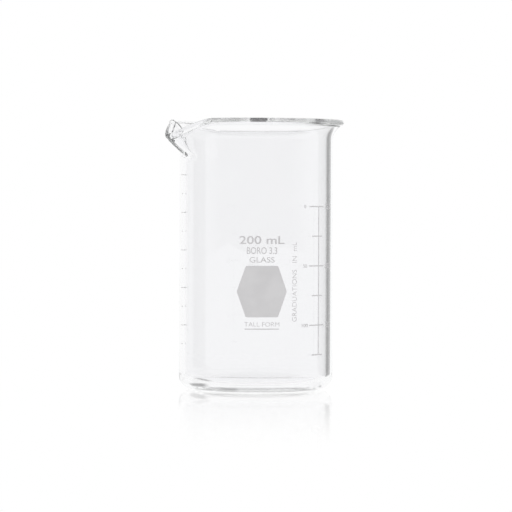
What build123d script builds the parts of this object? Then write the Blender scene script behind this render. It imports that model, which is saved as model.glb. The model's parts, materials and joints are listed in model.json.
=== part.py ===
"""Tall 200 mL laboratory beaker: one blown glass vessel and its fired-on enamel markings.

Millimetres, +Z up. The origin is on the vessel's axis, on the plane that the foot stands on.
The printed front faces -Y. The spout points forwards and to the left of the print.
"""

from build123d import *
from math import cos, degrees, pi, radians, sin
import os

# ------------------------------------------------------------ glass: driving dimensions
BODY_DIAMETER = 58.0  # outside of the straight wall
RIM_HEIGHT = 101.5  # top of the rim above the foot
WALL = 2.15
FLOOR = 1.9  # thickness of the floor on the axis
HEEL_RADIUS = 4.7  # outside, between the wall and the foot
INNER_HEEL_RADIUS = 3.4
FOOT_WIDTH = 1.4  # flat ring that touches the bench
PUSH_UP = 0.6  # how far the underside is dished up on the axis
FLARE_RADIUS = 6.2  # outside bend that turns the wall out to the rim
FLARE_ANGLE = 69.0  # how far the wall turns before it meets the bead
BEAD_RADIUS = 1.1  # fire-polished bead along the rim

# ------------------------------------------------------------ spout: driving dimensions
SPOUT_AZIMUTH = -150.0  # direction of the spout about +Z, from +X
SPOUT_REACH = 40.5  # tip of the lip from the axis
SPOUT_DEPTH = 14.2  # below the rim, where the underside leaves the wall
SPOUT_HALF_WIDTH = 11.5  # half the mouth of the spout, across the rim
LIP_DROP = 5.7  # top of the lip at its tip, below the rim
LIP_THICKNESS = 2.0  # of the glass at the tip, measured upright
LIP_EDGE = 1.2  # flat edge that the stream leaves, at the tip
LIP_HALF_WIDTH = 9.0  # half the width of the spout at the height of the lip
DIP_START = 28.5  # from the axis, where the rim begins to dip
SPOUT_ROOT_HALF_WIDTH = 1.5  # of the small nose where the spout leaves the wall

# ------------------------------------------------------------ markings: driving dimensions
ENAMEL = 0.08  # thickness of a fired-on layer
FRONT = -90.0  # azimuth of the middle of the print
LETTER_RISE = 6  # height of a capital in the grid that the strokes are drawn on
LETTER_GAP = 2.2
LETTER_STROKE = 1.0
BOWL = [(0, 6), (3, 6), (4, 5), (4, 4), (3, 3), (0, 3)]
LEFT_HALF = [(2, 6), (1, 6), (0, 5), (0, 1), (1, 0), (2, 0)]
RIGHT_HALF = [(2, 6), (3, 6), (4, 5), (4, 1), (3, 0), (2, 0)]
STEM = [(0, 0), (0, 6)]
STROKES = {  # each letter's strokes, as the corners that the pen passes
    " ": [],
    ".": [[(0, 0), (0, 1)]],
    "0": [LEFT_HALF, RIGHT_HALF],
    "1": [[(0, 5), (1, 6), (1, 0)]],
    "2": [[(0, 5), (1, 6), (3, 6), (4, 5), (4, 4), (0, 0), (4, 0)]],
    "3": [
        [(0, 5), (1, 6), (3, 6), (4, 5), (4, 4), (3, 3)],
        [(1, 3), (3, 3), (4, 2), (4, 1), (3, 0), (1, 0), (0, 1)],
    ],
    "5": [[(4, 6), (0, 6), (0, 3), (3, 3), (4, 2), (4, 1), (3, 0), (0, 0)]],
    "A": [[(0, 0), (2, 6), (4, 0)], [(1, 2), (3, 2)]],
    "B": [STEM, BOWL, [(3, 3), (4, 2), (4, 1), (3, 0), (0, 0)]],
    "D": [STEM, [(0, 6), (3, 6), (4, 5), (4, 1), (3, 0), (0, 0)]],
    "F": [[(4, 6), (0, 6), (0, 0)], [(0, 3), (3, 3)]],
    "G": [[(4, 5), (3, 6), (1, 6), (0, 5), (0, 1), (1, 0), (4, 0), (4, 3), (2, 3)]],
    "I": [STEM],
    "L": [[(0, 6), (0, 0), (4, 0)]],
    "M": [[(0, 0), (0, 6), (2.5, 2), (5, 6), (5, 0)]],
    "N": [[(0, 0), (0, 6), (4, 0), (4, 6)]],
    "O": [LEFT_HALF, RIGHT_HALF],
    "R": [STEM, BOWL, [(2, 3), (4, 0)]],
    "S": [
        [(4, 5), (3, 6), (1, 6), (0, 5), (0, 4), (1, 3), (3, 3), (4, 2), (4, 1), (3, 0), (1, 0), (0, 1)],
    ],
    "T": [[(0, 6), (4, 6)], [(2, 6), (2, 0)]],
    "U": [[(0, 6), (0, 1), (1, 0), (3, 0), (4, 1), (4, 6)]],
    "m": [[(0, 0), (0, 4), (2, 4), (3, 3), (3, 0)], [(3, 4), (5, 4), (6, 3), (6, 0)]],
}

PATCH_HEIGHT = 19.0
PATCH_WIDTH = 18.9  # corner to corner
PATCH_TOP_WIDTH = 12.0
PATCH_CENTRE = 37.5  # above the foot
PATCH_CORNER = 0.5

CAPACITY_CENTRE = 56.5
CAPACITY_SIZE = (16.9, 3.0)  # width and height of the letters
MATERIAL_CENTRES = (52.6, 49.2)
MATERIAL_SIZES = ((11.3, 2.55), (9.3, 2.05))
TYPE_CENTRE = 25.4
TYPE_SIZE = (13.1, 1.6)
TYPE_BAR = (12.9, 0.35)  # width and height of the bar
TYPE_BAR_DROP = 1.75  # below the middle of the letters

NOTE_OFFSET = 25.0  # degrees round from the print
NOTE_CENTRE = 41.0
NOTE_SIZE = (29.4, 1.9)

SCALE_OFFSET = 49.0  # degrees round from the print to the upright line
STEP_VOLUME = 25000.0  # cubic millimetres from one tick to the next
STEPS = 6
TICK_LINE = 0.45
UPRIGHT_LINE = 0.38
LONG_TICK = (5.3, 3.5)  # to the left and to the right of the upright line
SHORT_TICK = (3.8, 2.4)
REMAINING_GAP = 2.1  # from the end of a long tick to the middle of its numeral
REMAINING_DIGIT = (0.95, 1.3)  # width and height given to each digit
CONTAINED_GAP = 3.4
CONTAINED_DIGIT = (1.5, 2.1)

LADDER_OFFSET = -77.0
LADDER_STEP = 7.05  # upright distance between fine ticks
LADDER_BOTTOM = 17.2
LADDER_TICKS = 11
LADDER_LONG = 3.2
LADDER_SHORT = 1.4
LADDER_LINE = 0.28

# ------------------------------------------------------------ worked out from the above
OUTSIDE = BODY_DIAMETER / 2
INSIDE = OUTSIDE - WALL
MIDDLE = OUTSIDE - WALL / 2
BEND = FLARE_RADIUS + WALL / 2  # bend of the middle of the wall
TURN = radians(FLARE_ANGLE)
FLARE_START = RIM_HEIGHT - BEAD_RADIUS - BEND * sin(TURN)
BEAD_CENTRE = (MIDDLE + BEND * (1 - cos(TURN)), RIM_HEIGHT - BEAD_RADIUS)
FOOT_OUTER = OUTSIDE - HEEL_RADIUS
FOOT_INNER = FOOT_OUTER - FOOT_WIDTH
FLOOR_TOP = PUSH_UP + FLOOR
STEP = STEP_VOLUME / (pi * INSIDE**2)  # rise of the surface for one step of volume
HEEL_LOSS = (1 - pi / 4) * INNER_HEEL_RADIUS**2 * 2 / INSIDE  # what the rounded heel takes up
SCALE_HEIGHTS = [FLOOR_TOP + HEEL_LOSS + STEP * n for n in range(1, STEPS + 1)]
WIDEST = SPOUT_REACH + 2 * WALL  # past everything sideways
LIP_HEIGHT = RIM_HEIGHT - LIP_DROP
SPOUT_SLOPE = (SPOUT_REACH - OUTSIDE) / (SPOUT_DEPTH - LIP_DROP - LIP_THICKNESS)
SPOUT_ROOT_HEIGHT = RIM_HEIGHT - SPOUT_DEPTH - WALL / 5
SPOUT_ROOT_REACH = OUTSIDE - SPOUT_SLOPE * WALL / 5
SPOUT_BACK = INSIDE - 2 * WALL  # the straight back of each section, inside the bore
SPOUT_FRAME = Plane.XY.rotated((0, 0, SPOUT_AZIMUTH))  # level, +X along the spout
SPOUT_UPRIGHT = Plane.XZ.rotated((0, 0, SPOUT_AZIMUTH))  # upright, +X along the spout


def wall_plane(azimuth, height):
    """Plane that touches the outside of the wall, +X to the right of someone who faces it."""
    turn = radians(azimuth)
    outwards = Vector(cos(turn), sin(turn), 0)
    sideways = Vector(-sin(turn), cos(turn), 0)
    return Plane(outwards * OUTSIDE + Vector(0, 0, height), x_dir=sideways, z_dir=outwards)


def keep_enamel():
    """Push the drawn shapes through the wall's surface, and keep the enamel's thickness of them."""
    extrude(amount=OUTSIDE / 4, both=True)
    add(enamel_sleeve.part, mode=Mode.INTERSECT)


def lettering(words, size):
    """Words in even strokes, centred on the sketch. size is their width and capital height."""
    glyphs = [STROKES[letter] for letter in words]
    widths = [max((x for stroke in glyph for x, y in stroke), default=0) for glyph in glyphs]
    total = sum(widths) + LETTER_GAP * (len(words) - 1)
    across, unit = size[0] / (total + LETTER_STROKE), size[1] / (LETTER_RISE + LETTER_STROKE)
    left = -total / 2
    for glyph, width in zip(glyphs, widths):
        for stroke in glyph:
            points = [((left + x) * across, (y - LETTER_RISE / 2) * unit) for x, y in stroke]
            with BuildLine() as pen:
                Polyline(*points)
            trace(pen.edges(), line_width=LETTER_STROKE * unit)
        left += width + LETTER_GAP


def number_on_wall(value, digit):
    """A number whose digits are each given the same width and height."""
    lettering(str(value), (digit[0] * len(str(value)), digit[1]))


# ------------------------------------------------------------ the glass
def spout_outline(reach, half_width, root):
    """Horizontal section of the spout at one height: half an ellipse on a straight back."""
    with BuildLine() as outline:
        nose = EllipticalCenterArc((root, 0), reach - root, half_width, start_angle=-90, arc_size=180)
        Line(nose @ 1, nose @ 0)
    make_face(outline.edges())


with BuildPart() as glass_vessel:
    # The vessel as if it were solid glass up to the rim, dished under its floor.
    with BuildSketch(Plane.XZ):
        with BuildLine():
            dish = ThreePointArc((0, PUSH_UP), (FOOT_INNER / 2, PUSH_UP * 0.75), (FOOT_INNER, 0))
            foot = Line(dish @ 1, (FOOT_OUTER, 0))
            heel = JernArc(foot @ 1, (1, 0), HEEL_RADIUS, 90)
            side = Line(heel @ 1, (OUTSIDE, FLARE_START))
            flare = JernArc(side @ 1, (0, 1), FLARE_RADIUS, -FLARE_ANGLE)
            to_bead = Line(flare @ 1, BEAD_CENTRE)
            across = Line(to_bead @ 1, (0, BEAD_CENTRE[1]))
            Line(across @ 1, dish @ 0)
        make_face()
    revolve(axis=Axis.Z)

    # Outside of the spout: it leaves the wall as a small nose and opens upwards and outwards.
    with BuildSketch(SPOUT_FRAME.offset(SPOUT_ROOT_HEIGHT)):
        spout_outline(SPOUT_ROOT_REACH, SPOUT_ROOT_HALF_WIDTH, SPOUT_BACK)
    with BuildSketch(SPOUT_FRAME.offset(LIP_HEIGHT - LIP_THICKNESS)):
        spout_outline(SPOUT_REACH, LIP_HALF_WIDTH, SPOUT_BACK)
    with BuildSketch(SPOUT_FRAME.offset(BEAD_CENTRE[1])):
        spout_outline(SPOUT_REACH, SPOUT_HALF_WIDTH, SPOUT_BACK)
    loft(ruled=True)

    # The bore, with its rounded inner heel and the inside of the flare.
    with BuildSketch(Plane.XZ):
        with BuildLine():
            floor = Line((0, FLOOR_TOP), (INSIDE - INNER_HEEL_RADIUS, FLOOR_TOP))
            inner_heel = JernArc(floor @ 1, (1, 0), INNER_HEEL_RADIUS, 90)
            inner_side = Line(inner_heel @ 1, (INSIDE, FLARE_START))
            inner_flare = JernArc(inner_side @ 1, (0, 1), FLARE_RADIUS + WALL, -FLARE_ANGLE)
            lid = Polyline(inner_flare @ 1, BEAD_CENTRE, (BEAD_CENTRE[0], RIM_HEIGHT + WALL),
                           (0, RIM_HEIGHT + WALL))
            Line(lid @ 1, floor @ 0)
        make_face()
    revolve(axis=Axis.Z, mode=Mode.SUBTRACT)

    # The bead that fire-polishing leaves along the rim.
    with BuildSketch(Plane.XZ):
        with Locations(BEAD_CENTRE):
            Circle(BEAD_RADIUS)
    revolve(axis=Axis.Z)

    # The trough of the spout, a wall's thickness inside its outside.
    with BuildSketch(SPOUT_FRAME.offset(SPOUT_ROOT_HEIGHT + LIP_THICKNESS)):
        spout_outline(SPOUT_ROOT_REACH, SPOUT_ROOT_HALF_WIDTH, SPOUT_BACK)
    with BuildSketch(SPOUT_FRAME.offset(LIP_HEIGHT)):
        spout_outline(SPOUT_REACH - LIP_EDGE, LIP_HALF_WIDTH - WALL, SPOUT_BACK)
    with BuildSketch(SPOUT_FRAME.offset(RIM_HEIGHT + WALL)):
        spout_outline(SPOUT_REACH - LIP_EDGE, SPOUT_HALF_WIDTH - WALL, SPOUT_BACK)
    loft(ruled=True, mode=Mode.SUBTRACT)

    # The rim dips towards the tip of the lip, so that a stream leaves it cleanly.
    with BuildSketch(SPOUT_UPRIGHT):
        with BuildLine():
            fall = (RIM_HEIGHT - LIP_HEIGHT) / (SPOUT_REACH - WALL - DIP_START)
            dip = Polyline(
                (DIP_START - 2 * WALL, RIM_HEIGHT + 2 * WALL * fall),
                (SPOUT_REACH - WALL, LIP_HEIGHT),
                (WIDEST, LIP_HEIGHT),
                (WIDEST, RIM_HEIGHT + 2 * WALL * fall),
                close=True,
            )
        make_face()
    extrude(amount=OUTSIDE, both=True, mode=Mode.SUBTRACT)
glass_vessel.part.label = "glass_vessel"


# ------------------------------------------------------------ the enamel
with BuildPart() as enamel_sleeve:
    with BuildSketch(Plane.XY.offset(HEEL_RADIUS)):
        Circle(OUTSIDE + ENAMEL)
        Circle(OUTSIDE, mode=Mode.SUBTRACT)
    extrude(amount=FLARE_START - HEEL_RADIUS)

with BuildPart() as writing_patch:
    with BuildSketch(wall_plane(FRONT, PATCH_CENTRE)) as hexagon:
        Polygon(
            (PATCH_WIDTH / 2, 0),
            (PATCH_TOP_WIDTH / 2, PATCH_HEIGHT / 2),
            (-PATCH_TOP_WIDTH / 2, PATCH_HEIGHT / 2),
            (-PATCH_WIDTH / 2, 0),
            (-PATCH_TOP_WIDTH / 2, -PATCH_HEIGHT / 2),
            (PATCH_TOP_WIDTH / 2, -PATCH_HEIGHT / 2),
        )
        fillet(hexagon.vertices(), radius=PATCH_CORNER)
    keep_enamel()
writing_patch.part.label = "writing_patch"

with BuildPart() as capacity_mark:
    with BuildSketch(wall_plane(FRONT, CAPACITY_CENTRE)):
        lettering("200 mL", CAPACITY_SIZE)
    keep_enamel()
capacity_mark.part.label = "capacity_mark"

with BuildPart() as material_mark:
    for line, words in enumerate(("BORO 3.3", "GLASS")):
        with BuildSketch(wall_plane(FRONT, MATERIAL_CENTRES[line])):
            lettering(words, MATERIAL_SIZES[line])
    keep_enamel()
material_mark.part.label = "material_mark"

with BuildPart() as type_mark:
    with BuildSketch(wall_plane(FRONT, TYPE_CENTRE)):
        lettering("TALL FORM", TYPE_SIZE)
        with Locations((0, -TYPE_BAR_DROP)):
            Rectangle(*TYPE_BAR)
    keep_enamel()
type_mark.part.label = "type_mark"

with BuildPart() as volume_note:
    note_plane = wall_plane(FRONT + NOTE_OFFSET, NOTE_CENTRE)
    upwards = Plane(note_plane.origin, x_dir=note_plane.y_dir, z_dir=note_plane.z_dir)
    with BuildSketch(upwards):
        lettering("GRADUATIONS   IN  mL", NOTE_SIZE)
    keep_enamel()
volume_note.part.label = "volume_note"

with BuildPart() as main_scale:
    with BuildSketch(wall_plane(FRONT + SCALE_OFFSET, 0)):
        upright = SCALE_HEIGHTS[-1] - SCALE_HEIGHTS[0]
        with Locations((0, SCALE_HEIGHTS[0] + upright / 2)):
            Rectangle(UPRIGHT_LINE, upright)
        for number, height in enumerate(SCALE_HEIGHTS):
            left, right = LONG_TICK if number % 2 else SHORT_TICK
            with Locations(((right - left) / 2, height)):
                Rectangle(left + right, TICK_LINE)
    keep_enamel()
main_scale.part.label = "main_scale"

# Every second tick is numbered: what the vessel holds on the right, what is left to pour on
# the left.
with BuildPart() as contained_numerals:
    for number in range(1, STEPS, 2):
        turn = degrees((LONG_TICK[1] + CONTAINED_GAP) / OUTSIDE)
        with BuildSketch(wall_plane(FRONT + SCALE_OFFSET + turn, SCALE_HEIGHTS[number])):
            number_on_wall(25 * (number + 1), CONTAINED_DIGIT)
    keep_enamel()
contained_numerals.part.label = "contained_numerals"

with BuildPart() as remaining_numerals:
    for number in range(1, STEPS, 2):
        turn = degrees((LONG_TICK[0] + REMAINING_GAP) / OUTSIDE)
        with BuildSketch(wall_plane(FRONT + SCALE_OFFSET - turn, SCALE_HEIGHTS[number])):
            number_on_wall(25 * (STEPS - number - 1), REMAINING_DIGIT)
    keep_enamel()
remaining_numerals.part.label = "remaining_numerals"

with BuildPart() as second_scale:
    with BuildSketch(wall_plane(FRONT + LADDER_OFFSET, LADDER_BOTTOM)):
        for number in range(LADDER_TICKS):
            with Locations((0, LADDER_STEP * number)):
                Rectangle(LADDER_LONG if number % 2 else LADDER_SHORT, LADDER_LINE)
    keep_enamel()
second_scale.part.label = "second_scale"

os.makedirs("parts", exist_ok=True)
for piece in (
    glass_vessel,
    writing_patch,
    capacity_mark,
    material_mark,
    type_mark,
    volume_note,
    main_scale,
    contained_numerals,
    remaining_numerals,
    second_scale,
):
    export_step(piece.part, f"parts/{piece.part.label}.step")
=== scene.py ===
"""A 200 mL glass laboratory beaker with its fired-on markings, on a glossy white bench.

Everything is in metres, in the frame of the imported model: the vessel's axis is Z, its foot stands
on Z = 0 and the printed front faces -Y.
"""

import json
import logging
from dataclasses import dataclass, field
from enum import Enum
from math import atan2, ceil, cos, degrees, hypot, pi, radians, sin, sqrt
from typing import Iterable, Sequence

import bmesh
import bpy
from mathutils import Matrix, Vector


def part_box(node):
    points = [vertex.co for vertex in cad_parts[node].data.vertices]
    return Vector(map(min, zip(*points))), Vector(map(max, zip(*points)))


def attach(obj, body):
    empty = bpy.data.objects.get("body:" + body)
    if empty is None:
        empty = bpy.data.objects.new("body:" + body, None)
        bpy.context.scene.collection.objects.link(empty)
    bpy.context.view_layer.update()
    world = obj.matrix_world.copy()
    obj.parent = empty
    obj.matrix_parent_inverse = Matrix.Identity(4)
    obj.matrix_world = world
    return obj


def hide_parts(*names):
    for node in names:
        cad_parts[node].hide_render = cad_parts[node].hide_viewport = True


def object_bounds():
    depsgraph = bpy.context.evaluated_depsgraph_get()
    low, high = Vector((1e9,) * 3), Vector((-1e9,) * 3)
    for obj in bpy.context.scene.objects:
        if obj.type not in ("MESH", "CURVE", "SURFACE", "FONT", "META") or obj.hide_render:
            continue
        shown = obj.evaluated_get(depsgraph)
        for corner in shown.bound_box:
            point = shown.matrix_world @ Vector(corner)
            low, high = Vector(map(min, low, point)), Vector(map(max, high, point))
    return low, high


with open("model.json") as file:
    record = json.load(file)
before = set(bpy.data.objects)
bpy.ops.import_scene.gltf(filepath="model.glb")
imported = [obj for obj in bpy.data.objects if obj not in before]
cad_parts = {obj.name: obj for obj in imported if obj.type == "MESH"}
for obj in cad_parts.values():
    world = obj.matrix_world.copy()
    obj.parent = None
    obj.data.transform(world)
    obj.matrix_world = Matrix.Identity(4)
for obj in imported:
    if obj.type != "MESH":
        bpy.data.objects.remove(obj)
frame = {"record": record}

LOG = logging.getLogger("beaker")
MM = 0.001
TICKS = 6  # on the main scale
WHITE = (1.0, 1.0, 1.0, 1.0)
DEGREE = 180 / pi  # degrees in a radian
Point = tuple[float, float]
CAD_BOX = [[float(x) for x in corner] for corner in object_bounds()]
MOUNTS = {mount["name"]: mount for mount in frame["record"]["mounts"]}


# --------------------------------------------------------------------------------------
# Shader maths
# --------------------------------------------------------------------------------------


class Value:
    """One number that a shader works out, with Python's operators adding its Math nodes."""

    def __init__(self, sheet: "Sheet", socket: bpy.types.NodeSocket) -> None:
        """Keeps the socket and the sheet it belongs to."""
        self.sheet = sheet
        self.socket = socket

    def _maths(self, operation: str, *terms: "Value | float", clamp: bool = False) -> "Value":
        """Adds one Math node.

        Args:
            operation: the node's operation.
            terms: its inputs, in order.
            clamp: whether the result stays between 0 and 1.

        Returns:
            The node's result.
        """
        node = self.sheet.node(
            "ShaderNodeMath", {"operation": operation, "use_clamp": clamp}, dict(enumerate(terms))
        )
        return Value(self.sheet, node.outputs[0])

    def __add__(self, other: "Value | float") -> "Value":
        """The sum."""
        return self._maths("ADD", self, other)

    def __sub__(self, other: "Value | float") -> "Value":
        """The difference."""
        return self._maths("SUBTRACT", self, other)

    def __rsub__(self, other: float) -> "Value":
        """A number less this value."""
        return self._maths("SUBTRACT", other, self)

    def __mul__(self, other: "Value | float") -> "Value":
        """The product."""
        return self._maths("MULTIPLY", self, other)

    def __truediv__(self, other: "Value | float") -> "Value":
        """The quotient."""
        return self._maths("DIVIDE", self, other)

    __radd__ = __add__
    __rmul__ = __mul__

    def absolute(self) -> "Value":
        """Its size without its sign."""
        return self._maths("ABSOLUTE", self)

    def root(self) -> "Value":
        """Its square root."""
        return self._maths("SQRT", self)

    def turn_from(self, across: "Value") -> "Value":
        """The angle whose tangent is this value over the other, in radians."""
        return self._maths("ARCTAN2", self, across)

    def step(self, low: float, high: float) -> "Value":
        """A smooth rise from 0 at low to 1 at high.

        Args:
            low: where the rise begins.
            high: where it ends. It may be the smaller of the two, for a fall.

        Returns:
            The height of the rise, from 0 to 1.
        """
        first, last, start, end = (low, high, 0.0, 1.0) if low < high else (high, low, 1.0, 0.0)
        node = self.sheet.node(
            "ShaderNodeMapRange",
            {"interpolation_type": "SMOOTHSTEP"},
            {0: self, 1: first, 2: last, 3: start, 4: end},
        )
        return Value(self.sheet, node.outputs[0])

    def between(self, low: float, high: float, edge: float) -> "Value":
        """1 between low and high, falling smoothly to 0 over edge on both sides."""
        return self.step(low - edge, low) * self.step(high + edge, high)


class Sheet:
    """The node tree of one material or of the world."""

    def __init__(self, owner: bpy.types.Material | bpy.types.World) -> None:
        """Empties the owner's node tree and keeps it.

        Args:
            owner: the material or the world.
        """
        owner.use_nodes = True
        self.tree = owner.node_tree
        self.tree.nodes.clear()

    def node(
        self,
        kind: str,
        settings: dict[str, object] | None = None,
        inputs: dict[str | int, object] | None = None,
    ) -> bpy.types.Node:
        """Adds a node.

        Args:
            kind: the node's type.
            settings: its own properties, set first. stops is a ramp's list of places and colours.
            inputs: values or links of its sockets, by name or number.

        Returns:
            The node.
        """
        node = self.tree.nodes.new(kind)
        for name, value in (settings or {}).items():
            if name == "stops":
                self._ramp(node.color_ramp, value)
            else:
                setattr(node, name, value)
        for name, value in (inputs or {}).items():
            self.feed(node.inputs[name], value)
        return node

    def feed(self, socket: bpy.types.NodeSocket, value: object) -> None:
        """Links a socket to a value or another socket, or sets it to a plain number or colour.

        Args:
            socket: the socket to feed.
            value: a value, a socket, a number or a colour.
        """
        if isinstance(value, Value):
            value = value.socket
        if isinstance(value, bpy.types.NodeSocket):
            self.tree.links.new(value, socket)
        else:
            socket.default_value = value

    @staticmethod
    def _ramp(ramp: bpy.types.ColorRamp, stops: Sequence[tuple[float, Sequence[float]]]) -> None:
        """Sets a ramp's stops.

        Args:
            ramp: the ramp, which starts with two stops.
            stops: each stop's place and its colour.
        """
        while len(ramp.elements) < len(stops):
            ramp.elements.new(0.5)
        for element, (place, colour) in zip(ramp.elements, stops):
            element.position = place
            element.color = colour

    def value(self, node: bpy.types.Node, output: str | int = 0) -> Value:
        """One output of a node as a number to work with."""
        return Value(self, node.outputs[output])

    def place(self) -> bpy.types.NodeSocket:
        """The piece's own coordinates, in metres."""
        return self.node("ShaderNodeTexCoord").outputs["Object"]

    def noise(self, scale: float, detail: float = 2.0, roughness: float = 0.5) -> Value:
        """Cloudy noise over the piece.

        Args:
            scale: lumps per metre.
            detail: how many finer layers it has.
            roughness: how strong the finer layers are.

        Returns:
            The noise, from 0 to 1.
        """
        inputs = {"Vector": self.place(), "Scale": scale, "Detail": detail, "Roughness": roughness}
        return self.value(self.node("ShaderNodeTexNoise", None, inputs), "Fac")

    def tint(
        self, amount: Value, low: Sequence[float], high: Sequence[float]
    ) -> bpy.types.NodeSocket:
        """A colour between two.

        Args:
            amount: from 0 for the first colour to 1 for the second.
            low: the first colour.
            high: the second colour.

        Returns:
            The colour's socket.
        """
        stops = [(0.0, (*low, 1.0)), (1.0, (*high, 1.0))]
        ramp = self.node("ShaderNodeValToRGB", {"stops": stops}, {"Fac": amount})
        return ramp.outputs["Color"]

    def bump(self, height: Value, distance: float, strength: float = 1.0) -> bpy.types.NodeSocket:
        """A bumped normal.

        Args:
            height: the surface's height, from 0 to 1.
            distance: how far apart 0 and 1 are, in metres.
            strength: how much of the bump shows.

        Returns:
            The normal.
        """
        inputs = {"Height": height, "Distance": distance, "Strength": strength}
        return self.node("ShaderNodeBump", None, inputs).outputs["Normal"]

    def output(self, surface: bpy.types.Node, volume: bpy.types.Node | None = None) -> None:
        """Ends the tree.

        Args:
            surface: the shader of the surface, or the world's background.
            volume: the shader of the inside, where it has one.
        """
        of_world = surface.type == "BACKGROUND"
        out = self.node("ShaderNodeOutputWorld" if of_world else "ShaderNodeOutputMaterial")
        self.feed(out.inputs["Surface"], surface.outputs[0])
        if volume:
            self.feed(out.inputs["Volume"], volume.outputs[0])

    def glow(self, strength: Value | float) -> bpy.types.Node:
        """A plain white light of a stated strength."""
        return self.node("ShaderNodeEmission", None, {"Color": WHITE, "Strength": strength})


# --------------------------------------------------------------------------------------
# Finishes
# --------------------------------------------------------------------------------------


@dataclass(frozen=True)
class BlownGlass:
    """Clear borosilicate glass, very slightly wavy, as it comes from the blowing mould."""

    name: str = "borosilicate_glass"
    ior: float = 1.473
    absorption: float = 0.6
    absorption_colour: tuple[float, float, float, float] = (0.55, 0.62, 0.56, 1.0)
    wave_scale: float = 40.0
    wave_height: float = 0.01 * MM
    smear_scale: float = 90.0
    deep: tuple[float, float, float] = (0.945, 0.946, 0.954)
    pale: tuple[float, float, float] = (0.962, 0.963, 0.97)
    smear_start: float = 0.62
    smear_full: float = 0.85
    smear_roughness: float = 0.012

    def make(self) -> bpy.types.Material:
        """Makes the material.

        Returns:
            The material.
        """
        material = bpy.data.materials.new(self.name)
        sheet = Sheet(material)
        waves = sheet.noise(self.wave_scale, detail=1.0)
        smears = sheet.noise(self.smear_scale, detail=4.0, roughness=0.6)
        surface = sheet.node(
            "ShaderNodeBsdfPrincipled",
            None,
            {
                "Base Color": sheet.tint(smears, self.deep, self.pale),
                "Roughness": smears.step(self.smear_start, self.smear_full) * self.smear_roughness,
                "Metallic": 0.0,
                "IOR": self.ior,
                "Transmission Weight": 1.0,
                "Normal": sheet.bump(waves, self.wave_height),
            },
        )
        depth = sheet.node(
            "ShaderNodeVolumeAbsorption",
            None,
            {"Color": self.absorption_colour, "Density": self.absorption},
        )
        sheet.output(surface, depth)
        return material


@dataclass(frozen=True)
class FiredEnamel:
    """White ceramic enamel, fired on: matt, faintly grainy and a little thin in places."""

    name: str
    pale: tuple[float, float, float]
    thin: tuple[float, float, float]
    ior: float = 1.5
    roughness: float = 0.55
    grain_roughness: float = 0.2
    grain_scale: float = 5200.0
    grain_share: float = 0.3  # of the cover; the clouds have the rest
    grain_height: float = 0.012 * MM
    cloud_scale: float = 160.0
    cloud_start: float = 0.25
    cloud_full: float = 0.7

    def make(self) -> bpy.types.Material:
        """Makes the material.

        Returns:
            The material.
        """
        material = bpy.data.materials.new(self.name)
        sheet = Sheet(material)
        clouds = sheet.noise(self.cloud_scale, detail=3.0)
        grain = sheet.noise(self.grain_scale, detail=2.0, roughness=0.6)
        full = clouds.step(self.cloud_start, self.cloud_full)
        cover = full * (1 - self.grain_share) + grain * self.grain_share
        surface = sheet.node(
            "ShaderNodeBsdfPrincipled",
            None,
            {
                "Base Color": sheet.tint(cover, self.thin, self.pale),
                "Roughness": self.roughness + grain * self.grain_roughness,
                "IOR": self.ior,
                "Normal": sheet.bump(grain, self.grain_height, strength=0.6),
            },
        )
        sheet.output(surface)
        return material


class Enamel(Enum):
    """The two enamels on the vessel, by the slot of the record that each belongs to."""

    PATCH = "patch_enamel"
    PRINT = "print_enamel"

    def finish(self) -> FiredEnamel:
        """The finish of this enamel.

        Returns:
            The finish, with its colour where the cover is full and where it is thin.
        """
        if self is Enamel.PATCH:
            return FiredEnamel(self.value, (0.772, 0.764, 0.774), (0.702, 0.694, 0.704))
        return FiredEnamel(self.value, (0.724, 0.712, 0.724), (0.612, 0.602, 0.612))


ENAMELS: dict[Enamel, bpy.types.Material] = {}


@dataclass(frozen=True)
class Benchtop:
    """Glossy white bench, which mirrors the vessel near its foot and is plain further off."""

    name: str = "white_benchtop"
    mirror: float = 0.72
    ior: float = 1.45
    fade_start: float = 0.03
    fade_end: float = 0.27
    roughness: float = 0.05

    def make(self) -> bpy.types.Material:
        """Makes the material.

        Returns:
            The material.
        """
        material = bpy.data.materials.new(self.name)
        sheet = Sheet(material)
        length = sheet.node("ShaderNodeVectorMath", {"operation": "LENGTH"}, {0: sheet.place()})
        distance = sheet.value(length, "Value")
        gleam = sheet.value(sheet.node("ShaderNodeFresnel", None, {"IOR": self.ior}))
        share = distance.step(self.fade_end, self.fade_start) * gleam * self.mirror
        plain = sheet.glow(1.0)
        gloss = sheet.node(
            "ShaderNodeBsdfAnisotropic", None, {"Color": WHITE, "Roughness": self.roughness}
        )
        shaders = {0: share, 1: plain.outputs[0], 2: gloss.outputs[0]}
        sheet.output(sheet.node("ShaderNodeMixShader", None, shaders))
        return material


# --------------------------------------------------------------------------------------
# Making meshes
# --------------------------------------------------------------------------------------


def mesh_object(name: str, bm: bmesh.types.BMesh, smooth: bool = True) -> bpy.types.Object:
    """Turns a bmesh into an object at the origin.

    Args:
        name: the piece's name.
        bm: the mesh, which is freed.
        smooth: whether its faces are shaded smooth.

    Returns:
        The object, linked to the scene.
    """
    mesh = bpy.data.meshes.new(name)
    for face in bm.faces:
        face.smooth = smooth
    bm.to_mesh(mesh)
    bm.free()
    piece = bpy.data.objects.new(name, mesh)
    bpy.context.scene.collection.objects.link(piece)
    return piece


def arc(centre: Point, radius: float, start: float, end: float, steps: int) -> list[Point]:
    """Points along an arc of a profile.

    Args:
        centre: radius and height of the arc's centre.
        radius: of the arc.
        start: angle of its first point, in radians.
        end: angle of its last point.
        steps: how many stretches it has.

    Returns:
        The points, as radius and height.
    """
    turns = [start + (end - start) * i / steps for i in range(steps + 1)]
    return [(centre[0] + radius * cos(t), centre[1] + radius * sin(t)) for t in turns]


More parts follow.
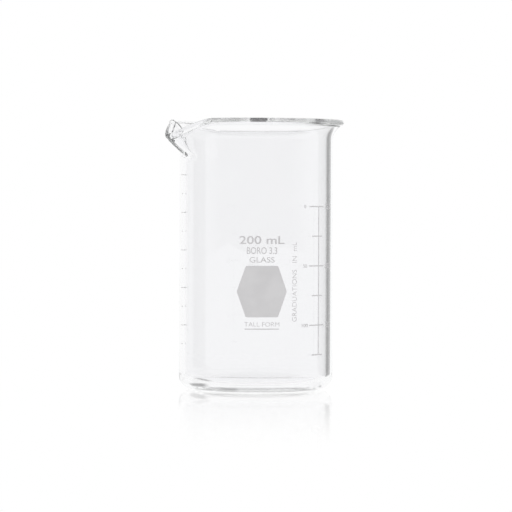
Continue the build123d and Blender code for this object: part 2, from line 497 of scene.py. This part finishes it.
def line(start: Point, end: Point, steps: int) -> list[Point]:
    """Points along a straight stretch of a profile.

    Args:
        start: radius and height of its first point.
        end: radius and height of its last point.
        steps: how many stretches it has.

    Returns:
        The points, both ends included.
    """
    across, up = end[0] - start[0], end[1] - start[1]
    shares = [i / steps for i in range(steps + 1)]
    return [(start[0] + across * s, start[1] + up * s) for s in shares]


# --------------------------------------------------------------------------------------
# The glass
# --------------------------------------------------------------------------------------


@dataclass
class Spout:
    """How the rim and the wall are drawn out into the pouring spout."""

    azimuth: float = radians(-150)
    root_height: float = 0.0852
    reach: float = 0.0390  # bead's centre at the tip, from the axis
    drop: float = 0.0056  # of the bead's centre at the tip
    rim_half_angle: float = radians(26)
    root_half_angle: float = radians(30)
    rim_softness: float = 0.14
    root_softness: float = 1.2
    lower_pull: Point = (0.0, 0.0030)
    upper_pull: Point = (0.0067, 0.0063)
    fullness: float = 0.4  # how far its sides swell out before they meet the wall

    def share(self, turn: float, rise: float) -> float:
        """How much of the spout's shape the glass takes at one place.

        Args:
            turn: angle from the spout's middle, in radians.
            rise: 0 where the spout begins, 1 at the rim.

        Returns:
            0 clear of the spout, 1 along its middle.
        """
        half = self.root_half_angle + (self.rim_half_angle - self.root_half_angle) * rise
        x = abs(turn) / half
        soft = self.root_softness + (self.rim_softness - self.root_softness) * rise
        x = (sqrt(x * x + soft * soft) - soft) / (sqrt(1 + soft * soft) - soft)
        return max(0.0, 1 - x) ** 2 * (1 + self.fullness * x)


@dataclass(frozen=True)
class ProfileSteps:
    """How many stretches each part of the glass's section has."""

    dish: int = 16
    foot: int = 2
    heel: int = 14
    wall: int = 10
    upper_wall: int = 14  # from where the spout begins to the flare
    flare: int = 12
    bead: int = 22
    inner_heel: int = 12
    floor: int = 14


@dataclass
class GlassVessel:
    """The blown vessel: dished foot, heel, straight wall, flared and beaded rim, and spout."""

    height: float
    outside: float
    inside: float
    flare_start: float
    heel: float = 4.7 * MM
    inner_heel: float = 3.4 * MM
    floor: float = 2.5 * MM
    push_up: float = 0.6 * MM
    foot_width: float = 1.4 * MM
    bead: float = 1.1 * MM
    flare: float = 6.2 * MM
    bead_lap: float = 0.85  # radians that the bead reaches past a half circle, at each end
    outer_trim: float = 0.14  # radians left off the flare under the bead, outside
    inner_trim: float = 0.1  # and inside
    steps: ProfileSteps = ProfileSteps()
    segments: int = 288
    crowding: float = 0.6  # how much closer the segments stand at the spout
    probe: float = 1e-5  # how far off the surface is felt for its slope
    spout: Spout = field(default_factory=Spout)

    def __post_init__(self) -> None:
        """Works out the middle of the wall and the bend of the flare."""
        self.wall = self.outside - self.inside
        self.middle = (self.outside + self.inside) / 2
        self.bend = self.flare + self.wall / 2
        rise = self.height - self.bead - self.flare_start
        self.turn = atan2(rise, sqrt(self.bend**2 - rise**2))
        self.straight = self.flare_start - self.spout.root_height
        self.length = self.straight + self.bend * self.turn

    def profile(self) -> list[Point]:
        """The section of the glass, from the axis under the floor round to the axis above it.

        Returns:
            Points as radius and height.
        """
        steps = self.steps
        centre = (self.middle + self.bend, self.flare_start)
        foot_out = self.outside - self.heel
        foot_in = foot_out - self.foot_width
        shares = [i / steps.dish for i in range(steps.dish + 1)]
        points = [(foot_in * s, self.push_up * (1 - s**2) ** 2) for s in shares]
        points += line((foot_in, 0), (foot_out, 0), steps.foot)[1:]
        points += arc((foot_out, self.heel), self.heel, -pi / 2, 0, steps.heel)[1:]
        root = self.spout.root_height
        points += line((self.outside, self.heel), (self.outside, root), steps.wall)[1:]
        points += line((self.outside, root), (self.outside, self.flare_start), steps.upper_wall)[1:]
        points += arc(centre, self.flare, pi, pi - self.turn + self.outer_trim, steps.flare)[1:]
        along, up = self.bend * cos(self.turn), self.bend * sin(self.turn)
        bead_centre = (centre[0] - along, centre[1] + up)
        facing = pi / 2 - self.turn
        first, last = facing - pi / 2 - self.bead_lap, facing + pi / 2 + self.bead_lap
        points += arc(bead_centre, self.bead, first, last, steps.bead)
        inner_flare = self.flare + self.wall
        points += arc(centre, inner_flare, pi - self.turn + self.inner_trim, pi, steps.flare)
        points += line((self.inside, self.flare_start), (self.inside, root), steps.upper_wall)[1:]
        inner_centre = (self.inside - self.inner_heel, self.floor + self.inner_heel)
        points += line((self.inside, root), (self.inside, inner_centre[1]), steps.wall)[1:]
        points += arc(inner_centre, self.inner_heel, 0, -pi / 2, steps.inner_heel)[1:]
        shares = [1 - i / steps.floor for i in range(1, steps.floor + 1)]
        points += [(inner_centre[0] * s, self.floor) for s in shares]
        return points

    def _along(self, place: float) -> Vector:
        """Middle of the plain wall, at a distance from where the spout begins.

        Args:
            place: the distance along the wall.

        Returns:
            Radius and height.
        """
        if place <= self.straight:
            return Vector((self.middle, self.spout.root_height + place))
        turn = (place - self.straight) / self.bend
        centre = Vector((self.middle + self.bend, self.flare_start))
        return centre + self.bend * Vector((-cos(turn), sin(turn)))

    def _drawn(self, rise: float) -> Vector:
        """Middle of the glass along the middle of the spout.

        Args:
            rise: 0 where the spout begins, 1 at the lip.

        Returns:
            Radius and height.
        """
        spout = self.spout
        start = Vector((self.middle, spout.root_height))
        end = Vector((spout.reach, self.height - self.bead - spout.drop))
        first = start + Vector(spout.lower_pull)
        last = end - Vector(spout.upper_pull)
        back = 1 - rise
        lower = start * back**3 + first * 3 * back**2 * rise
        return lower + last * 3 * back * rise**2 + end * rise**3

    def surface(self, place: float, turn: float) -> Vector:
        """Middle of the glass anywhere on the upper wall.

        Args:
            place: distance along the wall from where the spout begins.
            turn: angle from the spout's middle, in radians.

        Returns:
            The point, with the spout along +X.
        """
        rise = min(max(place / self.length, 0.0), 1.0)
        share = self.spout.share(turn, rise)
        flat = self._along(place).lerp(self._drawn(rise), share)
        return Vector((flat.x * cos(turn), flat.x * sin(turn), flat.y))

    def _draw_out(self, point: Vector) -> Vector:
        """Moves one point of the plain vessel to its place on the vessel with its spout.

        Args:
            point: the point, with the spout along +X.

        Returns:
            Its new place.
        """
        radius, turn = hypot(point.x, point.y), atan2(point.y, point.x)
        if point.z <= self.spout.root_height or radius < self.inside - self.wall:
            return point
        centre = Vector((self.middle + self.bend, self.flare_start))
        offset = Vector((radius, point.z)) - centre
        if point.z <= self.flare_start:
            place, out, beyond = point.z - self.spout.root_height, radius - self.middle, 0.0
        else:
            angle = atan2(offset.y, -offset.x)
            if angle <= self.turn:
                place, beyond = self.straight + self.bend * angle, 0.0
                out = self.bend - offset.length
            else:
                end = self._along(self.length) - centre
                along = Vector((sin(self.turn), cos(self.turn)))
                place, beyond = self.length, (offset - end).dot(along)
                out = -(offset - end).dot(end.normalized())
        if self.spout.share(turn, place / self.length) <= 0:
            return point
        step = self.probe
        here = self.surface(place, turn)
        upwards = (here - self.surface(place - step, turn)).normalized()
        sideways = self.surface(place, turn + step) - self.surface(place, turn - step)
        round_it = sideways.normalized()
        outwards = round_it.cross(upwards).normalized()
        return here + outwards * out + upwards * beyond

    def build(self) -> bpy.types.Object:
        """Spins the profile, draws the spout out of it and closes the poles.

        Returns:
            The vessel.
        """
        bm = bmesh.new()
        rows = [bm.verts.new((r, 0, z)) for r, z in self.profile()]
        edges = [bm.edges.new(pair) for pair in zip(rows, rows[1:])]
        bmesh.ops.spin(
            bm,
            geom=rows + edges,
            cent=(0, 0, 0),
            axis=(0, 0, 1),
            angle=2 * pi,
            steps=self.segments,
            use_merge=True,
        )
        bmesh.ops.remove_doubles(bm, verts=bm.verts, dist=1e-7)
        for vert in bm.verts:
            radius, turn = hypot(vert.co.x, vert.co.y), atan2(vert.co.y, vert.co.x)
            turn -= self.crowding * sin(turn)
            vert.co = self._draw_out(Vector((radius * cos(turn), radius * sin(turn), vert.co.z)))
        turned = Matrix.Rotation(self.spout.azimuth, 3, "Z")
        bmesh.ops.rotate(bm, cent=(0, 0, 0), matrix=turned, verts=bm.verts)
        bmesh.ops.recalc_face_normals(bm, faces=bm.faces)
        return mesh_object("vessel_glass", bm)

    def dress(self, piece: bpy.types.Object) -> None:
        """Gives the vessel its glass and its body, and hides the imported part that it stands for.

        Args:
            piece: the vessel.
        """
        piece.data.materials.append(BlownGlass().make())
        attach(piece, "root")
        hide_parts("glass_vessel")


# --------------------------------------------------------------------------------------
# The markings
# --------------------------------------------------------------------------------------


@dataclass
class Print:
    """One field of enamel on the outside of the wall."""

    name: str
    node: str
    radius: float
    enamel: Enamel
    sink: float = 0.02 * MM
    proud: float = 0.05 * MM
    strip: float = 0.5 * MM

    def wrap(self, bm: bmesh.types.BMesh, azimuth: float, height: float) -> None:
        """Lays a flat drawing round the wall.

        Args:
            bm: the drawing, in the XY plane, with its middle at the origin.
            azimuth: direction of its middle, in radians.
            height: of its middle.
        """
        xs = [vert.co.x for vert in bm.verts]
        for i in range(ceil(min(xs) / self.strip), ceil(max(xs) / self.strip)):
            bmesh.ops.bisect_plane(
                bm,
                geom=bm.verts[:] + bm.edges[:] + bm.faces[:],
                plane_co=(i * self.strip, 0, 0),
                plane_no=(1, 0, 0),
            )
        for vert in bm.verts:
            turn = azimuth + vert.co.x / self.radius
            inner = self.radius - self.sink
            vert.co = Vector((inner * cos(turn), inner * sin(turn), height + vert.co.y))

    def thicken(self, bm: bmesh.types.BMesh) -> None:
        """Raises the enamel off the wall by its thickness.

        Args:
            bm: the wrapped drawings.
        """
        bmesh.ops.recalc_face_normals(bm, faces=bm.faces)
        raised = bmesh.ops.extrude_face_region(bm, geom=bm.faces[:], use_keep_orig=True)
        scale = (self.radius + self.proud) / (self.radius - self.sink)
        top = [item for item in raised["geom"] if isinstance(item, bmesh.types.BMVert)]
        for vert in top:
            vert.co.x *= scale
            vert.co.y *= scale
        bmesh.ops.recalc_face_normals(bm, faces=bm.faces)

    def finish(self, parts: Iterable[bmesh.types.BMesh]) -> bpy.types.Object:
        """Joins the parts into one piece, gives it its enamel and body, and hides the imported part that it
        stands for.

        Args:
            parts: the wrapped drawings, which are freed.

        Returns:
            The piece.
        """
        whole = bmesh.new()
        for part in parts:
            mesh = bpy.data.meshes.new("part")
            part.to_mesh(mesh)
            part.free()
            whole.from_mesh(mesh)
            bpy.data.meshes.remove(mesh)
        self.thicken(whole)
        piece = mesh_object(self.name, whole, smooth=False)
        piece.data.materials.append(ENAMELS[self.enamel])
        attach(piece, "root")
        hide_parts(self.node)
        return piece


def rectangle(width: float, height: float, x: float = 0.0, y: float = 0.0) -> bmesh.types.BMesh:
    """A flat rectangle.

    Args:
        width: along X.
        height: along Y.
        x: of its middle.
        y: of its middle.

    Returns:
        The rectangle, in the XY plane.
    """
    bm = bmesh.new()
    bmesh.ops.create_grid(bm, x_segments=1, y_segments=1, size=0.5)
    bmesh.ops.scale(bm, vec=(width, height, 1), verts=bm.verts)
    bmesh.ops.translate(bm, vec=(x, y, 0), verts=bm.verts)
    return bm


def lettering(
    words: str, width: float, height: float, weight: float = 0.0, upwards: bool = False
) -> bmesh.types.BMesh:
    """Flat letters of a stated size.

    Args:
        words: the text.
        width: of the whole line.
        height: of a capital.
        weight: how much the strokes are thickened, in the font's own units.
        upwards: whether the line reads upwards.

    Returns:
        The letters, in the XY plane, with their middle at the origin.
    """
    curve = bpy.data.curves.new("letters", "FONT")
    curve.body = words
    curve.size = 1.0
    curve.offset = weight
    curve.resolution_u = 6
    text = bpy.data.objects.new("letters", curve)
    bpy.context.scene.collection.objects.link(text)
    bpy.context.view_layer.update()
    graph = bpy.context.evaluated_depsgraph_get()
    mesh = bpy.data.meshes.new_from_object(text.evaluated_get(graph))
    bm = bmesh.new()
    bm.from_mesh(mesh)
    bpy.data.objects.remove(text)
    bpy.data.curves.remove(curve)
    bpy.data.meshes.remove(mesh)
    bmesh.ops.remove_doubles(bm, verts=bm.verts, dist=1e-5)
    xs, ys = [v.co.x for v in bm.verts], [v.co.y for v in bm.verts]
    middle = Vector(((min(xs) + max(xs)) / 2, (min(ys) + max(ys)) / 2, 0))
    size = (width / (max(xs) - min(xs)), height / (max(ys) - min(ys)), 1)
    bmesh.ops.translate(bm, vec=-middle, verts=bm.verts)
    bmesh.ops.scale(bm, vec=size, verts=bm.verts)
    if upwards:
        bmesh.ops.rotate(bm, cent=(0, 0, 0), matrix=Matrix.Rotation(pi / 2, 3, "Z"), verts=bm.verts)
    return bm


@dataclass(frozen=True)
class TextLine:
    """One line of lettering, its size, and the height on the wall of its middle."""

    words: str
    width: float
    capital: float
    height: float
    weight: float = 0.0
    upwards: bool = False

    def draw(self) -> bmesh.types.BMesh:
        """The line's flat letters."""
        return lettering(self.words, self.width, self.capital, self.weight, self.upwards)


CAPACITY = TextLine("200 mL", 16.9 * MM, 3.0 * MM, 56.5 * MM, weight=0.012)
GLASS_KIND = TextLine("BORO 3.3", 11.3 * MM, 2.55 * MM, 52.6 * MM, weight=0.006)
GLASS_WORD = TextLine("GLASS", 9.3 * MM, 2.05 * MM, 49.2 * MM, weight=0.002)
VESSEL_KIND = TextLine("TALL FORM", 13.1 * MM, 1.6 * MM, 25.4 * MM, weight=-0.006)
NOTE = TextLine("GRADUATIONS   IN  mL", 29.4 * MM, 1.9 * MM, 41.0 * MM, weight=-0.008, upwards=True)


class Figures(Enum):
    """The two columns of figures beside the scale: their piece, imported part, place and size."""

    HELD = ("held_figures", "contained_numerals", 6.9 * MM, 1.5 * MM, 2.1 * MM)
    TO_FILL = ("to_fill_figures", "remaining_numerals", -7.4 * MM, 0.95 * MM, 1.3 * MM)

    def __init__(self, piece: str, node: str, reach: float, digit: float, height: float) -> None:
        """Keeps what one column is made to.

        Args:
            piece: the piece's name.
            node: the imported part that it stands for.
            reach: from the upright line to the figures' middle, less than 0 on the left.
            digit: the width of one digit.
            height: the height of a digit.
        """
        self.piece, self.node = piece, node
        self.reach, self.digit, self.height = reach, digit, height


@dataclass
class Markings:
    """Everything that is printed on the wall, placed round the vessel from the front at -Y."""

    radius: float
    heights: tuple[float, ...]
    front: float = radians(-90)
    scale_turn: float = 49.0  # degrees from the front to the scale's upright line
    ladder_turn: float = -77.0
    note_turn: float = 25.0
    patch_half: float = 9.45 * MM  # half its width, at its two side corners
    patch_top: float = 6.0 * MM  # half the width of its level edges
    patch_rise: float = 9.5 * MM  # half its height
    patch_corner: float = 0.4 * MM
    patch_height: float = 37.5 * MM
    bar: tuple[float, float, float] = (12.9 * MM, 0.35 * MM, 23.65 * MM)  # width, height, place
    upright: float = 0.38 * MM
    tick: float = 0.45 * MM
    long_tick: tuple[float, float] = (5.3 * MM, 3.5 * MM)  # reach to the left and to the right of the upright
    short_tick: tuple[float, float] = (3.8 * MM, 2.4 * MM)
    tick_volume: int = 25
    figure_weight: float = 0.004
    ladder_ticks: int = 11
    ladder_start: float = 17.2  # in mm, like the pitch
    ladder_pitch: float = 7.05
    ladder_tick: float = 0.28 * MM
    ladder_wide: float = 3.2 * MM
    ladder_narrow: float = 1.4 * MM

    def _print(
        self,
        name: str,
        node: str,
        enamel: Enamel,
        drawings: Sequence[tuple[bmesh.types.BMesh, float, float]],
    ) -> bpy.types.Object:
        """Wraps flat drawings round the wall and finishes them as one piece.

        Args:
            name: the piece's name.
            node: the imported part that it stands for.
            enamel: what it is printed in.
            drawings: each drawing with its degrees from the front and its height.

        Returns:
            The piece.
        """
        ink = Print(name, node, self.radius, enamel)
        for bm, turn, height in drawings:
            ink.wrap(bm, self.front + radians(turn), height)
        return ink.finish([bm for bm, turn, height in drawings])

    def patch(self) -> bpy.types.Object:
        """The six-sided patch that is written on in pencil.

        Returns:
            The piece.
        """
        bm = bmesh.new()
        half, top, rise = self.patch_half, self.patch_top, self.patch_rise
        corners = [(half, 0), (top, rise), (-top, rise), (-half, 0), (-top, -rise), (top, -rise)]
        face = bm.faces.new([bm.verts.new((x, y, 0)) for x, y in corners])
        bmesh.ops.bevel(
            bm,
            geom=face.verts[:],
            offset=self.patch_corner,
            segments=4,
            profile=0.5,
            affect="VERTICES",
            material=-1,
        )
        drawings = [(bm, 0, self.patch_height)]
        return self._print("patch_print", "writing_patch", Enamel.PATCH, drawings)

    def _words(
        self, name: str, node: str, lines: Sequence[TextLine], turn: float = 0.0
    ) -> bpy.types.Object:
        """Prints lines of lettering as one piece.

        Args:
            name: the piece's name.
            node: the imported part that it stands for.
            lines: the lines.
            turn: degrees from the front to their middle.

        Returns:
            The piece.
        """
        drawings = [(row.draw(), turn, row.height) for row in lines]
        return self._print(name, node, Enamel.PRINT, drawings)

    def capacity(self) -> bpy.types.Object:
        """What the vessel holds, in bold figures over the patch."""
        return self._words("capacity_print", "capacity_mark", [CAPACITY])

    def material(self) -> bpy.types.Object:
        """The two lines that say what glass it is."""
        return self._words("material_print", "material_mark", [GLASS_KIND, GLASS_WORD])

    def kind(self) -> bpy.types.Object:
        """The small line under the patch, with its bar.

        Returns:
            The piece.
        """
        width, height, place = self.bar
        drawings = [(VESSEL_KIND.draw(), 0, VESSEL_KIND.height), (rectangle(width, height), 0, place)]
        return self._print("type_print", "type_mark", Enamel.PRINT, drawings)

    def note(self) -> bpy.types.Object:
        """The note beside the patch, which reads upwards."""
        return self._words("note_print", "volume_note", [NOTE], self.note_turn)

    def scale(self) -> bpy.types.Object:
        """The upright line with its six ticks.

        Returns:
            The piece.
        """
        low, high = self.heights[0], self.heights[-1]
        half = self.upright / 2
        drawings = [(rectangle(self.upright, high - low), self.scale_turn, (high + low) / 2)]
        for number, height in enumerate(self.heights):
            left, right = self.long_tick if number % 2 else self.short_tick
            for side, reach in ((-1, left), (1, right)):
                stub = rectangle(reach - half, self.tick, side * (reach + half) / 2)
                drawings.append((stub, self.scale_turn, height))
        return self._print("scale_print", "main_scale", Enamel.PRINT, drawings)

    def numerals(self, figures: Figures) -> bpy.types.Object:
        """The figures on one side of the scale, at every second tick.

        Args:
            figures: the volume held, on the right, or what is left to fill, on the left.

        Returns:
            The piece.
        """
        drawings = []
        turn = self.scale_turn + figures.reach / self.radius * 180 / pi
        top = len(self.heights) - 1
        for number in range(1, len(self.heights), 2):
            ticks = number + 1 if figures is Figures.HELD else top - number
            figure = str(self.tick_volume * ticks)
            width = figures.digit * len(figure)
            words = lettering(figure, width, figures.height, self.figure_weight)
            drawings.append((words, turn, self.heights[number]))
        return self._print(figures.piece, figures.node, Enamel.PRINT, drawings)

    def ladder(self) -> bpy.types.Object:
        """The fine second scale on the other side.

        Returns:
            The piece.
        """
        drawings = []
        for number in range(self.ladder_ticks):
            bar = rectangle(self.ladder_wide if number % 2 else self.ladder_narrow, self.ladder_tick)
            height = (self.ladder_start + self.ladder_pitch * number) * MM
            drawings.append((bar, self.ladder_turn, height))
        return self._print("fine_scale_print", "second_scale", Enamel.PRINT, drawings)

    def build(self) -> list[bpy.types.Object]:
        """Prints every field.

        Returns:
            The pieces.
        """
        fields = [self.patch(), self.capacity(), self.material(), self.kind(), self.note()]
        fields.append(self.scale())
        fields += [self.numerals(figures) for figures in Figures]
        return fields + [self.ladder()]


# --------------------------------------------------------------------------------------
# The room
# --------------------------------------------------------------------------------------


@dataclass
class Studio:
    """The bench, the white surroundings, the camera, and two dark things seen through the glass."""

    azimuth: float = radians(-4.5)
    distance: float = 1.09
    camera_height: float = 0.0698
    aim_height: float = 0.0501
    view_width: float = 0.1938  # what the view spans at the vessel's axis
    roll: float = radians(0.2)
    bench_width: float = 6.0
    bench_gap: float = 0.2 * MM  # under the vessel's foot
    grey_front: tuple[float, float] = (80.0, 130.0)  # degrees round from straight behind
    front_grey: float = 0.75
    dark_above: tuple[float, float] = (52.0, 90.0)  # degrees above the bench
    above_blur: float = 5.0  # degrees
    above_grey: float = 0.05
    card_centre: Point = (30.0 * MM, -1.0 * MM)
    card_lift: float = 0.3 * MM
    card_start: float = 1.0 * MM  # from its centre
    card_reach: float = 0.1
    card_edge: tuple[float, float] = (19.0, 22.5)  # degrees round from straight behind, where it darkens
    card_grey: float = 0.28
    card_sweep: float = 55.0  # degrees
    card_height: float = 0.25
    shade_turn: tuple[float, float] = (-174.0, -133.0)  # degrees round from the right of the vessel
    shade_reach: tuple[float, float] = (0.0212, 0.0264)
    shade_rise: float = -0.1 * MM
    shade_edge: float = 1.0 * MM
    shade_blur: float = 12.0  # degrees
    shade_grey: float = 0.35

    def _through_glass(self, name: str, bm: bmesh.types.BMesh, material: bpy.types.Material) -> None:
        """Puts a dark thing in the room that shows only through the glass.

        Args:
            name: of the thing.
            bm: its mesh, which is freed.
            material: what it is covered with.
        """
        thing = mesh_object(name, bm)
        thing.data.materials.append(material)
        thing.visible_camera = False
        thing.visible_diffuse = False
        thing.visible_glossy = False
        thing.visible_shadow = False

    def card(self) -> None:
        """Stands a curved dark card to the right of the vessel, with its foot spread over the bench.

        Only what is seen through the glass shows it. It is centred where that sight leaves the wall,
        and it darkens from its near edge on.
        """
        turned = Matrix.Rotation(self.azimuth, 3, "Z")
        centre = turned @ Vector((*self.card_centre, self.card_lift))
        material = bpy.data.materials.new("dark_card")
        sheet = Sheet(material)
        offset = sheet.node(
            "ShaderNodeVectorMath", {"operation": "SUBTRACT"}, {0: sheet.place(), 1: centre}
        )
        parts = sheet.node("ShaderNodeSeparateXYZ", None, {0: offset.outputs[0]})
        turn = sheet.value(parts, "X").turn_from(sheet.value(parts, "Y")) * DEGREE
        dark = (turn + degrees(self.azimuth)).step(*self.card_edge)
        sheet.output(sheet.glow(1 - dark * (1 - self.card_grey)))
        bm = bmesh.new()
        start = self.azimuth - radians(self.card_edge[0])
        out = Matrix.Rotation(start, 3, "Z") @ Vector((0, 1, 0))
        rise = Vector((0, 0, self.card_height))
        foot = centre + out * self.card_reach
        section = [bm.verts.new(place) for place in (centre + out * self.card_start, foot, foot + rise)]
        edges = [bm.edges.new(pair) for pair in zip(section, section[1:])]
        sweep = -radians(self.card_sweep)
        bmesh.ops.spin(bm, geom=section + edges, cent=centre, axis=(0, 0, 1), angle=sweep, steps=24)
        self._through_glass("dark_card", bm, material)

    def heel_shade(self) -> None:
        """Lays a soft shadow on the bench under the left of the heel, seen only through the glass."""
        material = bpy.data.materials.new("heel_shade")
        sheet = Sheet(material)
        parts = sheet.node("ShaderNodeSeparateXYZ", None, {0: sheet.place()})
        x, y = sheet.value(parts, "X"), sheet.value(parts, "Y")
        start, end = (turn + degrees(self.azimuth) for turn in self.shade_turn)
        turn = x.turn_from(-1 * y) * DEGREE - 90
        inner, outer = self.shade_reach
        depth = turn.between(start + self.shade_blur, end - self.shade_blur, self.shade_blur)
        reach = (x * x + y * y).root()
        depth = depth * reach.between(inner + self.shade_edge, outer - self.shade_edge, self.shade_edge)
        sheet.output(sheet.glow(1 - depth * (1 - self.shade_grey)))
        bm = bmesh.new()
        along, side = cos(radians(start)), sin(radians(start))
        ends = [bm.verts.new((r * along, r * side, self.shade_rise)) for r in (inner, outer)]
        edge = bm.edges.new(ends)
        sweep = radians(end - start)
        bmesh.ops.spin(
            bm, geom=ends + [edge], cent=(0, 0, 0), axis=(0, 0, 1), angle=sweep, steps=16
        )
        self._through_glass("heel_shade", bm, material)

    def world(self) -> None:
        """Surrounds everything with light: white behind and beside the vessel, grey in front, dark above."""
        world = bpy.data.worlds.new("white_room")
        bpy.context.scene.world = world
        sheet = Sheet(world)
        around = sheet.node("ShaderNodeTexCoord").outputs["Generated"]
        turned = sheet.node(
            "ShaderNodeVectorRotate",
            {"rotation_type": "Z_AXIS"},
            {"Vector": around, "Angle": -self.azimuth},
        )
        parts = sheet.node("ShaderNodeSeparateXYZ", None, {0: turned.outputs[0]})
        x, y, z = (sheet.value(parts, axis) for axis in "XYZ")
        turn = x.turn_from(y) * DEGREE  # from straight behind the vessel, to the right
        rise = z.turn_from((x * x + y * y).root()) * DEGREE
        front = turn.absolute().step(*self.grey_front)
        above = rise.between(*self.dark_above, self.above_blur)
        light = 1 - front * (1 - self.front_grey)
        light = light * (1 - above * (1 - self.above_grey))
        seen = sheet.value(sheet.node("ShaderNodeLightPath"), "Is Camera Ray")
        light = seen + (1 - seen) * light
        sheet.output(sheet.node("ShaderNodeBackground", None, {"Color": WHITE, "Strength": light}))

    def bench(self) -> None:
        """Lays the glossy bench under the vessel."""
        bm = rectangle(self.bench_width, self.bench_width)
        bmesh.ops.translate(bm, vec=(0, 0, -self.bench_gap), verts=bm.verts)
        bench = mesh_object("bench", bm, smooth=False)
        bench.data.materials.append(Benchtop().make())

    def camera(self) -> None:
        """Sets the camera up in front of the vessel, a little above its middle."""
        data = bpy.data.cameras.new("camera")
        camera = bpy.data.objects.new("camera", data)
        bpy.context.scene.collection.objects.link(camera)
        direction = radians(-90) + self.azimuth
        across, back = self.distance * cos(direction), self.distance * sin(direction)
        where = Vector((across, back, self.camera_height))
        aim = Vector((0, 0, self.aim_height))
        look = (aim - where).to_track_quat("-Z", "Y").to_matrix().to_4x4()
        camera.matrix_world = Matrix.Translation(where) @ look @ Matrix.Rotation(self.roll, 4, "Z")
        data.sensor_width = 36.0
        reach = hypot(self.distance, self.camera_height - self.aim_height)
        data.lens = data.sensor_width * reach / self.view_width
        data.clip_end = 50.0
        bpy.context.scene.camera = camera

    def build(self) -> None:
        """Sets up the whole room."""
        self.world()
        self.bench()
        self.card()
        self.heel_shade()
        self.camera()
        scene = bpy.context.scene
        scene.view_settings.view_transform = "Standard"
        scene.cycles.max_bounces = 300
        scene.cycles.diffuse_bounces = 16
        scene.cycles.glossy_bounces = 250
        scene.cycles.transmission_bounces = 100


def main() -> None:
    """Builds the room, the vessel and its markings, and writes down how large they came out."""
    logging.basicConfig(level=logging.INFO, format="%(name)s: %(message)s")
    for enamel in Enamel:
        ENAMELS[enamel] = enamel.finish().make()
    Studio().build()
    inside, outer = MOUNTS["inside"], MOUNTS["outer_wall"]
    top = inside["pos_m"][2] + inside["dims"]["length_mm"] * MM / 2
    vessel = GlassVessel(
        height=CAD_BOX[1][2],
        outside=outer["dims"]["r_mm"] * MM,
        inside=inside["dims"]["r_mm"] * MM,
        flare_start=top,
    )
    piece = vessel.build()
    vessel.dress(piece)
    LOG.info("%s: %d faces", piece.name, len(piece.data.polygons))
    low, high = (corner[2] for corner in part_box("main_scale"))
    low, high = low + Markings.tick / 2, high - Markings.tick / 2
    heights = tuple(low + (high - low) * n / (TICKS - 1) for n in range(TICKS))
    for mark in Markings(vessel.outside, heights).build():
        LOG.info("%s: %d faces", mark.name, len(mark.data.polygons))


if __name__ == "__main__":
    main()
